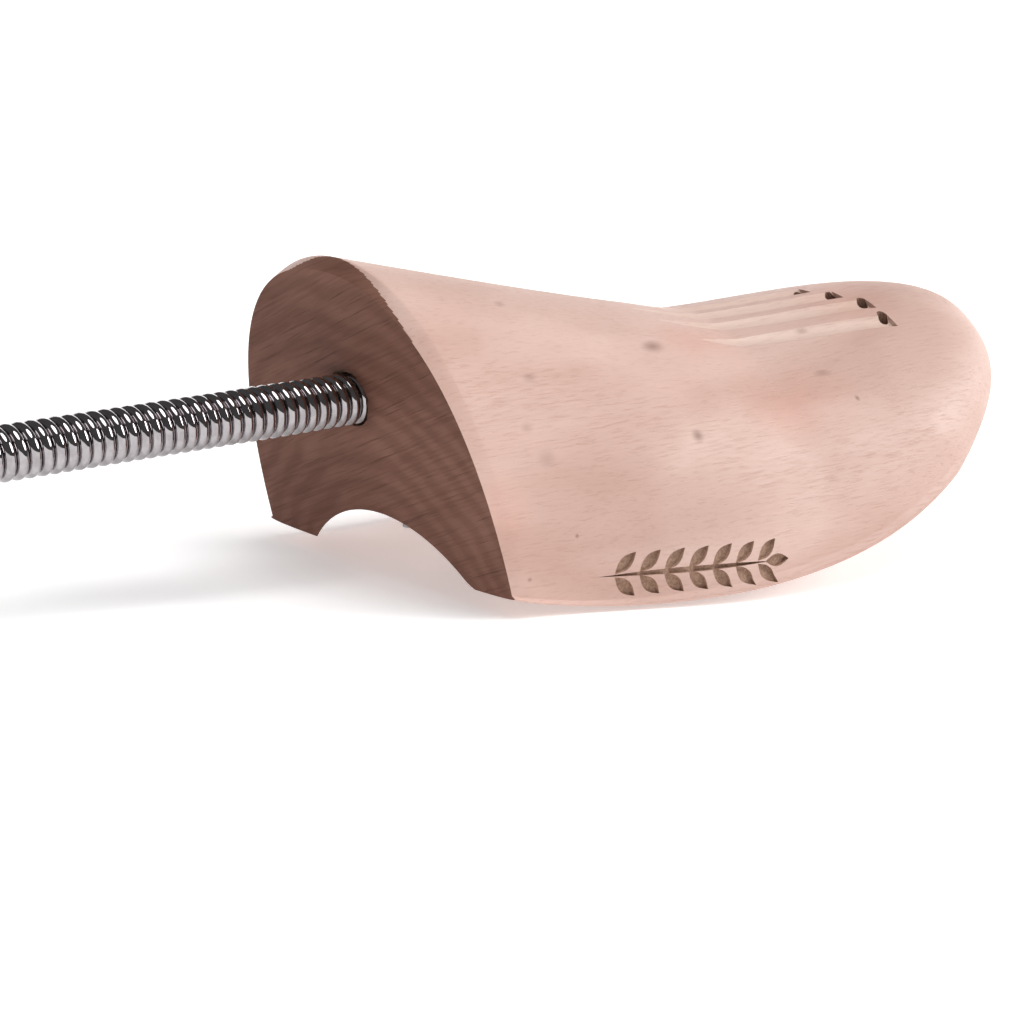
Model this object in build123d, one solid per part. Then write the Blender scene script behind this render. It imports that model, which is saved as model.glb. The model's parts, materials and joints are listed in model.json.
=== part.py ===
from build123d import *
import os
from math import cos, degrees, hypot, pi, radians, sin, sqrt, tan

# A spiral-spring shoe tree for a left shoe: a wooden forepart shaped like the front half of a last, a
# close-wound coil spring pressed into its back face, and a turned wooden heel knob on the spring's
# other end. A steel pin through each bore holds the spring.
#
# Millimetres. The pieces are drawn in the last's own frame: +X to the toe, +Y to the outer side of the
# foot, +Z up, with the spring level and the lower edge of the back face at x = 0, z = 0. Then the whole
# tree is turned and lifted to the way it stands, on the flat of its sole and on its knob.

# ---- forepart: plan outline
LAST_LENGTH = 144.0  # lower edge of the back face to the tip of the toe
BACK_HALF_WIDTH = 37.0
BALL_HALF_WIDTH = 45.2
BALL_X = 56.0  # where the last is widest, and the toe's plan ellipse begins
TOE_SWING = -10.5  # how far the toe's tip lies towards the big toe

# ---- forepart: side profile
BACK_HEIGHT = 57.5
BACK_LEAN = 14.5  # degrees that the back face leans towards the heel
LEAN_FADE = 58.0  # the sections are upright from here on
VAMP_HEIGHT = 39.0
VAMP_X = 71.0
VAMP_POWER = 1.2  # 1 is a straight instep, more is a hollow one
TOE_CREST = 43.0  # the crest line's height if it ran on to the tip
TOE_X = 60.0  # where the toe's side profile begins to close
TOE_POWER = 3.6  # 2 is an ellipse, more is blunter
TOE_SOLE_POWER = 4.0
NOSE_HEIGHT = 22.5
ROCKER_DEPTH = 7.0  # the sole's lowest line, below the lower edge of the back face
ROCKER_X = 46.0
ROCKER_RADIUS = 215.0
REAR_LIFT = 1.2  # how much higher the sole curls at the back, and how far forward that reaches
REAR_LIFT_X = 28.0

# ---- forepart: shape of a section
WAIST_BACK = 0.03  # height of the widest line, as a share of the section's height
WAIST_BALL = 0.10
WAIST_TOE_RISE = 0.20
SHOULDER_PINCH = 0.06  # how far the shoulders are drawn in from an ellipse
SHOULDER_FULL = 0.035  # and how far they stand out at the back
SOLE_SQUARENESS = 0.20  # how far the sole's corners are pushed out
SQUARE_UNTIL = 0.6  # the share of the toe's length over which they stay pushed out
ARRIS_RADIUS = 3.0  # rounding of the back face's edge at the top
ARRIS_AT_SOLE = 0.12  # how much of that rounding is left at the sides' foot

# ---- forepart: the loft's stations
SECTION_POINTS = 32
REAR_STATIONS = 5
TOE_TURNS = (0, 10, 20, 30, 40, 50, 60, 69, 77, 83.5, 88)  # degrees round the plan ellipse
EDGE_TURNS = (0, 22.5, 45, 67.5, 90)  # degrees round the back edge's rounding

# ---- forepart: arch under the instep, a hollow that starts in the back face, measured along that face,
# and runs out in the sole and the outer side
ARCH_HALF_WIDTH = 23.0
ARCH_HEIGHT = 9.4
ARCH_Y = -1.5
ARCH_TURN = 54.0  # degrees that the hollow turns from the toe towards the outer side
ARCH_FALL = 12.5  # degrees that its ceiling falls on the way
ARCH_INNER_FOOT = 7.5  # rounding between the hollow and the sole
ARCH_OUTER_FOOT = 1.2
FOOT_LEVEL = -0.8  # height of the sole at the back face, where the feet meet it

# ---- forepart: four grooves on the toe, each from a plunge hole at its front end
GROOVE_OFFSETS = (-17.0, -11.5, -6.5, -1.5)  # from the middle of the last
GROOVE_TOE_GAPS = (33.5, 34.0, 38.0, 42.0)  # from the tip of the toe
GROOVE_LENGTHS = (58.0, 64.0, 62.0, 50.0)
GROOVE_RADIUS = 2.2
GROOVE_DEPTH = 0.9
GROOVE_EXIT = 0.14  # how far over the wood the cutter is at the rear end
GROOVE_FULL = 0.35  # share of the length at full depth
GROOVE_STEPS = 8
PLUNGE_RADIUS = 1.2
PLUNGE_DEPTH = 3.0

# ---- forepart: leaf sprig engraved on the inner side
SPRIG_X = 37.5
SPRIG_Z = 0.6
SPRIG_LENGTH = 40.0
SPRIG_FALL = 2.6  # degrees
SPRIG_DEPTH = 0.8
STEM_WIDTH = 1.1
LEAF_LENGTH = 5.6
LEAF_WIDTH = 2.4
LEAF_PAIRS = 7
LEAF_ANGLE = 42.0
LEAF_FOOT = 0.4  # from the stem's middle to the foot of a leaf
BARE_STEM = 3.0  # at the stem's foot, before the first pair
TIP_ROOM = 2.0  # from the last pair to the leaf at the tip, and how far the stem runs into that leaf

# ---- spring
SPRING_OD = 9.6
WIRE = 2.2
COIL_PITCH = 2.27
STRETCH_COILS = 5  # turns in each stretch that bends against its neighbours
STRETCHES = 12
STUB_COILS = 2  # turns outside the wood before the first bend
BEND_GAP = 0.7  # the room between two stretches, taken up on the inner side of a bend
HOLE_HEIGHT = 30.7  # the spring's axis above the lower edge of the back face
BORE_DEPTH = 28.0
BORE_CLEARANCE = 0.05
BORE_END_ROOM = 0.4

# ---- heel knob
KNOB_RADIUS = 21.8
KNOB_FACE_RADIUS = 13.0  # the flat that the spring goes in at
KNOB_TAIL_RADIUS = 11.5  # the flat at the rear
KNOB_BORE_DEPTH = 25.0
KNOB_EDGE = 1.2

# ---- pins
PIN_RADIUS = 0.9
PIN_TIP_RADIUS = 0.2
PIN_HEAD_RADIUS = 1.7
PIN_HEAD_HEIGHT = 0.9
PIN_CLEARANCE = 0.05
PIN_PAST_SPRING = 5.0
PIN_RECESS = 0.3

# ---- stance
SOLE_FLAT = 0.5  # how much is planed off the sole's rocker to stand on
SOLE_MOUNT_Y = -23.0  # on the inner foot of the flat, beside the arch

CUT_PAST = 10.0  # how far a cutter runs past the face that it enters
BISECTIONS = 40
BASE = (Align.CENTER, Align.CENTER, Align.MIN)

LEAN = tan(radians(BACK_LEAN))
BACK_FACE = Plane(origin=(0, 0, 0), x_dir=(0, 1, 0), z_dir=(1, 0, LEAN))  # its y runs up the face
HOLE_X = -HOLE_HEIGHT * LEAN
BORE_RADIUS = SPRING_OD / 2 + BORE_CLEARANCE
STRETCH_LENGTH = STRETCH_COILS * COIL_PITCH
STUB_LENGTH = STUB_COILS * COIL_PITCH
EXPOSED_LENGTH = STRETCHES * STRETCH_LENGTH + 2 * STUB_LENGTH
KNOB_SEAT = sqrt(KNOB_RADIUS**2 - KNOB_FACE_RADIUS**2)  # front flat to the widest circle
KNOB_TAIL = sqrt(KNOB_RADIUS**2 - KNOB_TAIL_RADIUS**2)
KNOB_MOUTH_X = HOLE_X - EXPOSED_LENGTH
KNOB_CENTRE_X = KNOB_MOUTH_X - KNOB_SEAT
ARCH_RADIUS = (ARCH_HALF_WIDTH**2 + ARCH_HEIGHT**2) / (2 * ARCH_HEIGHT)


def ease(t):
    t = min(max(t, 0.0), 1.0)
    return t * t * (3 - 2 * t)


def sole_height(x):
    lift = REAR_LIFT * max(1 - x / REAR_LIFT_X, 0) ** 2
    return -ROCKER_DEPTH + (x - ROCKER_X) ** 2 / (2 * ROCKER_RADIUS) + lift


class Section:
    """The last's outline at one station: its sizes, and the point at an angle round it."""

    def __init__(self, x, inset=0.0):
        self.x = x
        toe = min(max((x - BALL_X) / (LAST_LENGTH - BALL_X), 0.0), 1.0)
        close = min(max((x - TOE_X) / (LAST_LENGTH - TOE_X), 0.0), 1.0)
        flare = (BALL_HALF_WIDTH - BACK_HALF_WIDTH) * ease(x / BALL_X)
        instep = max(1 - max(x, 0.0) / VAMP_X, 0.0) ** VAMP_POWER
        rise = ease((x - VAMP_X) / (LAST_LENGTH - VAMP_X))
        crest = VAMP_HEIGHT + (BACK_HEIGHT - VAMP_HEIGHT) * instep + (TOE_CREST - VAMP_HEIGHT) * rise
        crest_left = (1 - close**TOE_POWER) ** (1 / TOE_POWER)
        sole_left = sqrt(1 - close**TOE_SOLE_POWER)
        forward = ease(2 * x / LAST_LENGTH)
        share = WAIST_BACK + (WAIST_BALL - WAIST_BACK) * forward + WAIST_TOE_RISE * close**2
        self.middle = TOE_SWING * (x / LAST_LENGTH) ** 2
        self.half_width = (BACK_HALF_WIDTH + flare) * sqrt(1 - toe**2) - inset
        self.top = NOSE_HEIGHT + (crest - NOSE_HEIGHT) * crest_left - inset
        self.sole = NOSE_HEIGHT - (NOSE_HEIGHT - sole_height(x)) * sole_left + inset
        self.waist = self.sole + (self.top - self.sole) * share
        self.pinch = SHOULDER_PINCH * forward - SHOULDER_FULL * (1 - forward)
        self.square = SOLE_SQUARENESS * (1 - max(close - SQUARE_UNTIL, 0.0) / (1 - SQUARE_UNTIL))
        self.lean = LEAN * max(0.0, 1 - x / LEAN_FADE)

    def point(self, angle, arris=0.0):
        """0 is the widest point on the outer side, pi / 2 the crest, pi the inner side."""
        lobes = sin(2 * angle) ** 2
        above = sin(angle) >= 0
        reach = 1 - self.pinch * lobes if above else 1 + self.square * lobes
        half_height = self.top - self.waist if above else self.waist - self.sole
        worn = arris * (ARRIS_AT_SOLE + (1 - ARRIS_AT_SOLE) * max(sin(angle), 0.0) ** 4)
        y = (self.half_width - worn) * cos(angle) * reach
        z = self.waist + (half_height - worn) * sin(angle) * reach
        return Vector(self.x - z * self.lean, self.middle + y, z)

    def outline(self, arris=0.0):
        angles = [2 * pi * i / SECTION_POINTS for i in range(SECTION_POINTS)]
        return Wire([Edge.make_spline([self.point(a, arris) for a in angles], periodic=True)])

    def on_crown(self, offset, height):
        """The point on the top that lies offset from the middle, raised along the section's normal."""
        low, high = 0.0, pi
        for _ in range(BISECTIONS):
            angle = (low + high) / 2
            if self.point(angle).Y - self.middle > offset:
                low = angle
            else:
                high = angle
        along = self.point(angle + 0.01) - self.point(angle - 0.01)
        normal = Vector(0, along.Z, -along.Y).normalized()
        return self.point(angle) + normal * height


def last_body():
    """The whole last: a thin slice with the rounded back edge, and the long loft from there to the toe."""
    turns = [radians(a) for a in EDGE_TURNS]
    slices = [(ARRIS_RADIUS * (1 - cos(a)), ARRIS_RADIUS * (1 - sin(a))) for a in turns]
    edge = Solid.make_loft([Section(x).outline(inset) for x, inset in slices])
    stations = [ARRIS_RADIUS] + [BALL_X * i / REAR_STATIONS for i in range(1, REAR_STATIONS)]
    stations += [BALL_X + (LAST_LENGTH - BALL_X) * sin(radians(a)) for a in TOE_TURNS]
    nose = Vertex(LAST_LENGTH, TOE_SWING, NOSE_HEIGHT)
    return edge + Solid.make_loft([Section(x).outline() for x in stations] + [nose])


def arch_foot(side, rounding):
    """A foot's rounding in the back face: where it leaves the hollow, where it meets the sole, its centre."""
    centre = Vector(ARCH_Y, ARCH_HEIGHT - ARCH_RADIUS)
    drop = FOOT_LEVEL + rounding - centre.Y
    reach = side * sqrt((ARCH_RADIUS + rounding) ** 2 - drop**2)
    leaves = centre + Vector(reach, drop) * (ARCH_RADIUS / (ARCH_RADIUS + rounding))
    return (leaves.X, leaves.Y), (ARCH_Y + reach, FOOT_LEVEL), (ARCH_Y + reach, FOOT_LEVEL + rounding)


def foot_arc(leaves, meets, centre):
    middle = Vector(leaves[0] + meets[0] - 2 * centre[0], leaves[1] + meets[1] - 2 * centre[1])
    through = Vector(*centre) + middle.normalized() * (centre[1] - FOOT_LEVEL)
    return ThreePointArc(leaves, (through.X, through.Y), meets)


def arch_direction():
    turn, fall = radians(ARCH_TURN), radians(ARCH_FALL)
    return Vector(cos(turn) * cos(fall), sin(turn) * cos(fall), -sin(fall))


def arch_cutter():
    """The hollow's outline in the back face, run along its own direction."""
    inner = arch_foot(-1, ARCH_INNER_FOOT)
    outer = arch_foot(1, ARCH_OUTER_FOOT)
    outline = [
        foot_arc(*inner),
        ThreePointArc(inner[0], (ARCH_Y, ARCH_HEIGHT), outer[0]),
        foot_arc(*outer),
        Polyline(outer[1], (outer[1][0], -LAST_LENGTH), (inner[1][0], -LAST_LENGTH), inner[1]),
    ]
    profile = BACK_FACE * make_face(outline)
    behind = Pos(*(arch_direction() * -CUT_PAST))
    return extrude(behind * profile, amount=LAST_LENGTH, dir=arch_direction())


def arch_ceiling(x):
    """The height of the hollow's ceiling at x, under the spring's axis."""
    along, across = arch_direction(), BACK_FACE.z_dir
    low, high = -ARCH_HEIGHT, ARCH_HEIGHT
    for _ in range(BISECTIONS):
        z = (low + high) / 2
        place = Vector(x, 0, z)
        start = BACK_FACE.to_local_coords(place - along * (place.dot(across) / along.dot(across)))
        if hypot(start.X - ARCH_Y, start.Y - ARCH_HEIGHT + ARCH_RADIUS) < ARCH_RADIUS:
            low = z
        else:
            high = z
    return z


def groove_cutter(offset, toe_gap, length):
    """A round-nosed cutter's path, deepest at its front end and rising out of the wood at the rear."""
    front = LAST_LENGTH - toe_gap
    centres = []
    for i in range(GROOVE_STEPS + 1):
        t = i / GROOVE_STEPS
        depth = GROOVE_DEPTH - (GROOVE_DEPTH + GROOVE_EXIT) * ease((t - GROOVE_FULL) / (1 - GROOVE_FULL))
        centres.append(Section(front - t * length).on_crown(offset, GROOVE_RADIUS - depth))
    path = Edge.make_spline(centres)
    start = Plane(origin=path @ 0, z_dir=path % 0)
    groove = sweep(start * Circle(GROOVE_RADIUS), path=path)
    floor = Section(front - PLUNGE_RADIUS).on_crown(offset, -PLUNGE_DEPTH)
    plunge = Pos(*floor) * Cylinder(PLUNGE_RADIUS, PLUNGE_DEPTH + CUT_PAST, align=BASE)
    return [groove, plunge]


def leaf(length, width):
    """A pointed leaf from the origin along +X."""
    upper = ThreePointArc((0, 0), (length / 2, width / 2), (length, 0))
    lower = ThreePointArc((length, 0), (length / 2, -width / 2), (0, 0))
    return make_face([upper, lower])


def sprig_outline():
    """A stem with a leaf at its tip and pairs of leaves along it, centred on the origin."""
    foot_x = -SPRIG_LENGTH / 2
    tip_x = SPRIG_LENGTH / 2 - LEAF_LENGTH
    stem = Pos(foot_x, 0) * leaf(tip_x - foot_x + TIP_ROOM, STEM_WIDTH)
    leaves = [Pos(tip_x, 0) * leaf(LEAF_LENGTH, LEAF_WIDTH)]
    pair_step = (tip_x - TIP_ROOM - foot_x - BARE_STEM) / (LEAF_PAIRS - 1)
    for i in range(LEAF_PAIRS):
        pair = Pos(foot_x + BARE_STEM + i * pair_step, 0)
        for turn in (LEAF_ANGLE, -LEAF_ANGLE):
            leaves.append(pair * Rot(0, 0, turn) * Pos(LEAF_FOOT, 0) * leaf(LEAF_LENGTH, LEAF_WIDTH))
    return stem + leaves


def sprig_cutter():
    """The sprig as a prism from outside the inner side down to the engraving's floor."""
    outside = BALL_HALF_WIDTH + abs(TOE_SWING) + CUT_PAST
    plane = Plane(origin=(SPRIG_X, -outside, SPRIG_Z), x_dir=(1, 0, 0), z_dir=(0, -1, 0))
    prism = extrude(plane * Rot(0, 0, -SPRIG_FALL) * sprig_outline(), amount=-outside)
    stations = [SPRIG_X + SPRIG_LENGTH * t for t in (-0.85, -0.6, -0.3, 0, 0.3, 0.6, 0.85)]
    floor = Solid.make_loft([Section(x, SPRIG_DEPTH).outline() for x in stations])
    return prism - floor


def level_cylinder(radius, front, rear):
    """A cylinder along the spring's axis, from x = front back to x = rear."""
    middle = (front + rear) / 2
    return Location((middle, 0, HOLE_HEIGHT), (0, 90, 0)) * Cylinder(radius, front - rear)


def pin_foot_front():
    """Where the front pin's head sits, in the arch's ceiling under the middle of the bore."""
    x = HOLE_X + BORE_DEPTH / 2
    return x, arch_ceiling(x) + PIN_RECESS


def pin_foot_rear():
    return KNOB_CENTRE_X, HOLE_HEIGHT - KNOB_RADIUS + PIN_RECESS


def pin_solid(foot, grow=0.0, below=0.0):
    """A nail with its head down at foot. grow and below turn it into the cutter for its own hole."""
    x, z = foot
    point_length = 2 * PIN_RADIUS
    shank_top = HOLE_HEIGHT + SPRING_OD / 2 + PIN_PAST_SPRING - point_length
    head = Pos(x, 0, z - below) * Cylinder(PIN_HEAD_RADIUS + grow, PIN_HEAD_HEIGHT + below + grow, align=BASE)
    shank = Pos(x, 0, z) * Cylinder(PIN_RADIUS + grow, shank_top - z, align=BASE)
    tip = Cone(PIN_RADIUS + grow, PIN_TIP_RADIUS + grow, point_length + grow, align=BASE)
    return head + shank + Pos(x, 0, shank_top) * tip


def coil_stack(front, length):
    """Turns of wire as rings joined at the bore, from x = front back along the spring's axis."""
    coils = round(length / COIL_PITCH)
    outer = SPRING_OD / 2
    inner = outer - WIRE
    root = outer - WIRE / 2
    step = length / coils
    edges = [Polyline((0, root), (0, inner), (-length, inner), (-length, root))]
    for i in range(coils):
        start = -length + i * step
        edges.append(ThreePointArc((start, root), (start + step / 2, outer), (start + step, root)))
    return Pos(front, 0, HOLE_HEIGHT) * revolve(make_face(edges), axis=Axis.X)


def spring_nodes():
    """The spring from bore to bore, split where it bends. The pins pass through its two ends."""
    front = HOLE_X + BORE_DEPTH - BORE_END_ROOM
    rear = KNOB_MOUTH_X - KNOB_BORE_DEPTH + BORE_END_ROOM
    bends = [bend_x(i) for i in range(STRETCHES + 1)]
    half = BEND_GAP / 2
    nodes = {"spring_front_end": coil_stack(front, front - bends[0] - half)}
    for i in range(STRETCHES):
        nodes[f"spring_coil_{i + 1:02d}"] = coil_stack(bends[i] - half, STRETCH_LENGTH - BEND_GAP)
    nodes["spring_rear_end"] = coil_stack(bends[-1] - half, bends[-1] - half - rear)
    nodes["spring_front_end"] -= pin_solid(pin_foot_front(), PIN_CLEARANCE)
    nodes["spring_rear_end"] -= pin_solid(pin_foot_rear(), PIN_CLEARANCE)
    return nodes


def bend_x(i):
    return HOLE_X - STUB_LENGTH - i * STRETCH_LENGTH


def heel_knob():
    """A turned ball with a flat at each end, bored for the spring and for its pin."""
    outline = [
        Line((KNOB_SEAT, 0), (KNOB_SEAT, KNOB_FACE_RADIUS)),
        ThreePointArc((KNOB_SEAT, KNOB_FACE_RADIUS), (0, KNOB_RADIUS), (-KNOB_TAIL, KNOB_TAIL_RADIUS)),
        Line((-KNOB_TAIL, KNOB_TAIL_RADIUS), (-KNOB_TAIL, 0)),
        Line((-KNOB_TAIL, 0), (KNOB_SEAT, 0)),
    ]
    ball = revolve(make_face(outline), axis=Axis.X)
    ball = Pos(KNOB_CENTRE_X, 0, HOLE_HEIGHT) * fillet(ball.edges().filter_by(GeomType.CIRCLE), KNOB_EDGE)
    ball -= level_cylinder(BORE_RADIUS, KNOB_MOUTH_X + CUT_PAST, KNOB_MOUTH_X - KNOB_BORE_DEPTH)
    return ball - pin_solid(pin_foot_rear(), PIN_CLEARANCE, CUT_PAST)


def forepart():
    block = last_body() - arch_cutter()
    block -= level_cylinder(BORE_RADIUS, HOLE_X + BORE_DEPTH, HOLE_X - CUT_PAST)
    block -= pin_solid(pin_foot_front(), PIN_CLEARANCE, CUT_PAST)
    for groove in zip(GROOVE_OFFSETS, GROOVE_TOE_GAPS, GROOVE_LENGTHS):
        for cutter in groove_cutter(*groove):
            block -= cutter
    return block - sprig_cutter()


def flat_x(tilt):
    """Where the sole is level once the tree is turned by tilt, which is the middle of its flat."""
    return ROCKER_X - ROCKER_RADIUS * tan(tilt)


def floor_level(tilt):
    """The height of the planed sole once the tree is turned by tilt."""
    x = flat_x(tilt)
    return x * sin(tilt) + sole_height(x) * cos(tilt) + SOLE_FLAT


def stance_tilt():
    """The turn, in radians, that rests the tree on the flat of its sole and on its knob."""
    low, high = 0.0, radians(BACK_LEAN)
    for _ in range(BISECTIONS):
        tilt = (low + high) / 2
        knob_foot = KNOB_CENTRE_X * sin(tilt) + HOLE_HEIGHT * cos(tilt) - KNOB_RADIUS
        if knob_foot > floor_level(tilt):
            low = tilt
        else:
            high = tilt
    return tilt


def stand(nodes, tilt):
    """Turns the nodes to the stance, planes the sole, and gives them with the shift that centres them."""
    turned = {name: Rot(0, -degrees(tilt), 0) * shape for name, shape in nodes.items()}
    side = 4 * LAST_LENGTH
    below = (Align.CENTER, Align.CENTER, Align.MAX)
    turned["forepart"] -= Pos(0, 0, floor_level(tilt)) * Box(side, side, LAST_LENGTH, align=below)
    boxes = [shape.bounding_box() for shape in turned.values()]
    middle_x = (min(b.min.X for b in boxes) + max(b.max.X for b in boxes)) / 2
    middle_y = (min(b.min.Y for b in boxes) + max(b.max.Y for b in boxes)) / 2
    shift = Pos(-middle_x, -middle_y, -floor_level(tilt))
    return {name: shift * shape for name, shape in turned.items()}, shift


def report(label, point):
    print(f"{label}: {point.X:.3f} {point.Y:.3f} {point.Z:.3f}")


nodes = {"forepart": forepart(), "heel_knob": heel_knob()}
nodes["lock_pin_front"] = pin_solid(pin_foot_front())
nodes["lock_pin_rear"] = pin_solid(pin_foot_rear())
nodes.update(spring_nodes())
tilt = stance_tilt()
standing, shift = stand(nodes, tilt)

os.makedirs("parts", exist_ok=True)
for name, shape in standing.items():
    export_step(shape, f"parts/{name}.step")

# The places that the record needs.
stance = shift * Rot(0, -degrees(tilt), 0)
print(f"tilt: {degrees(tilt):.4f}")
for i in range(STRETCHES + 1):
    report(f"bend {i}", (stance * Pos(bend_x(i), 0, HOLE_HEIGHT)).position)
sole_middle = (stance * Pos(flat_x(tilt), SOLE_MOUNT_Y, sole_height(flat_x(tilt)))).position
report("sole mount", Vector(sole_middle.X, sole_middle.Y, 0))
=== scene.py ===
import json
from math import atan, ceil, cos, exp, pi, radians, sin, sqrt, tan

import bpy
from mathutils import Matrix, Vector


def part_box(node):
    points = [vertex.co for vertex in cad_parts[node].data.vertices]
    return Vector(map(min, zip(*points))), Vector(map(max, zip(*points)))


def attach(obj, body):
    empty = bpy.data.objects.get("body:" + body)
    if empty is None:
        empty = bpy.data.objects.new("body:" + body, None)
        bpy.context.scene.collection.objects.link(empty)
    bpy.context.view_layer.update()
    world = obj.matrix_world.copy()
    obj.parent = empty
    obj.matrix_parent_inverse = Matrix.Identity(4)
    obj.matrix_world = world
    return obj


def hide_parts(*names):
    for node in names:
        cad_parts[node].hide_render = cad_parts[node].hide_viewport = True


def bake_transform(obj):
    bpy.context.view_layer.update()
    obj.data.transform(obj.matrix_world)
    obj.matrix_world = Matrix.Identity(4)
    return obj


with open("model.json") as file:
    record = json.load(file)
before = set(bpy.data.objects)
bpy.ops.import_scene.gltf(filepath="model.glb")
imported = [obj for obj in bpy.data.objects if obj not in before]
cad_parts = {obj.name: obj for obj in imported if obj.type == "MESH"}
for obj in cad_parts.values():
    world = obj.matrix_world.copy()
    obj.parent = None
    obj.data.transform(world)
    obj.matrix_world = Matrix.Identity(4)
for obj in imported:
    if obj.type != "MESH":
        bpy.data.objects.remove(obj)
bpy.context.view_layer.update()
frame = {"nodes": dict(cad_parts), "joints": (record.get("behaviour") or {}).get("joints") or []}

MM = 0.001

# ---------------------------------------------------------------- sizes, as in the CAD model, in mm
LAST_LENGTH = 144.0
BACK_HALF_WIDTH = 37.0
BALL_HALF_WIDTH = 45.2
BALL_X = 56.0
TOE_SWING = -10.5
BACK_HEIGHT = 57.5
BACK_LEAN = 14.5
LEAN_FADE = 58.0
VAMP_HEIGHT = 39.0
VAMP_X = 71.0
VAMP_POWER = 1.2
TOE_CREST = 43.0
TOE_X = 60.0
TOE_POWER = 3.6
NOSE_HEIGHT = 22.5
ROCKER_DEPTH = 7.0
ROCKER_X = 46.0
ROCKER_RADIUS = 215.0
REAR_LIFT = 1.2
REAR_LIFT_X = 28.0
WAIST_BACK = 0.03
WAIST_BALL = 0.10
WAIST_TOE_RISE = 0.20
SHOULDER_PINCH = 0.06
SHOULDER_FULL = 0.035
SOLE_SQUARENESS = 0.20
SQUARE_UNTIL = 0.6
ARRIS_RADIUS = 3.0
ARRIS_AT_SOLE = 0.12
ARRIS_BULGE = 1.3  # 1 is a flat bevel, more is rounder
ARCH_HALF_WIDTH = 23.0
ARCH_HEIGHT = 9.4
ARCH_Y = -1.5
ARCH_TURN = 54.0
ARCH_FALL = 12.5
ARCH_INNER_FOOT = 7.5
ARCH_OUTER_FOOT = 1.2
FOOT_LEVEL = -0.8
GROOVES = ((-17.0, 33.5, 58.0), (-11.5, 34.0, 64.0), (-6.5, 38.0, 62.0), (-1.5, 42.0, 50.0))  # y, toe gap, length
GROOVE_RADIUS = 2.2
GROOVE_DEPTH = 0.9
GROOVE_EXIT = 0.14
GROOVE_FULL = 0.35
PLUNGE_RADIUS = 1.2
PLUNGE_DEPTH = 3.0
SPRIG_X = 37.5
SPRIG_Z = 0.6
SPRIG_LENGTH = 40.0
SPRIG_FALL = 2.6
SPRIG_DEPTH = 0.8
LEAF_LENGTH = 5.6
LEAF_WIDTH = 2.4
LEAF_PAIRS = 7
LEAF_ANGLE = 42.0
LEAF_FOOT = 0.4
STEM_WIDTH = 1.1
BARE_STEM = 3.0
TIP_ROOM = 2.0
SPRING_OD = 9.6
WIRE = 2.2
COIL_PITCH = 2.27
STRETCH_LENGTH = 5 * COIL_PITCH
STUB_LENGTH = 2 * COIL_PITCH
HOLE_HEIGHT = 30.7
BORE_DEPTH = 28.0
BORE_RADIUS = SPRING_OD / 2 + 0.05
BORE_END_ROOM = 0.4
KNOB_FACE_RADIUS = 13.0
KNOB_TAIL_RADIUS = 11.5
KNOB_BORE_DEPTH = 25.0
KNOB_EDGE = 1.2
BORE_CHAMFER = 0.5
PIN_HOLE_RADIUS = 1.75
CHIP_LEAST = 0.2
CHIP_REACH = 1.7  # how far the torn rim of the forepart's hole reaches at its worst
CHIP_ANGLE = 2.6  # where that is, in radians from the outer side round to the top
CHIP_DEPTH = 1.3
CHIP_LIFT = 0.02
CUT_PAST = 10.0

LEAN = tan(radians(BACK_LEAN))
HOLE_X = -HOLE_HEIGHT * LEAN
JOINTS = frame["joints"]
EXPOSED_LENGTH = (len(JOINTS) - 1) * STRETCH_LENGTH + 2 * STUB_LENGTH

# The last's own frame, in mm, into the row's frame, in metres: its x runs from the last bend to the first.
FIRST_BEND = Vector(JOINTS[0]["pos_m"])
ALONG = (FIRST_BEND - Vector(JOINTS[-1]["pos_m"])).normalized()
ACROSS = Vector((0, 1, 0))
TURN = Matrix((ALONG, ACROSS, ALONG.cross(ACROSS))).transposed().to_4x4() @ Matrix.Scale(MM, 4)
STANCE = Matrix.Translation(FIRST_BEND - TURN @ Vector((HOLE_X - STUB_LENGTH, 0, HOLE_HEIGHT))) @ TURN
LAST_FROM_ROW = STANCE.inverted()


# ---------------------------------------------------------------- the last's surface
def ease(t):
    t = min(max(t, 0.0), 1.0)
    return t * t * (3 - 2 * t)


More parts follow.
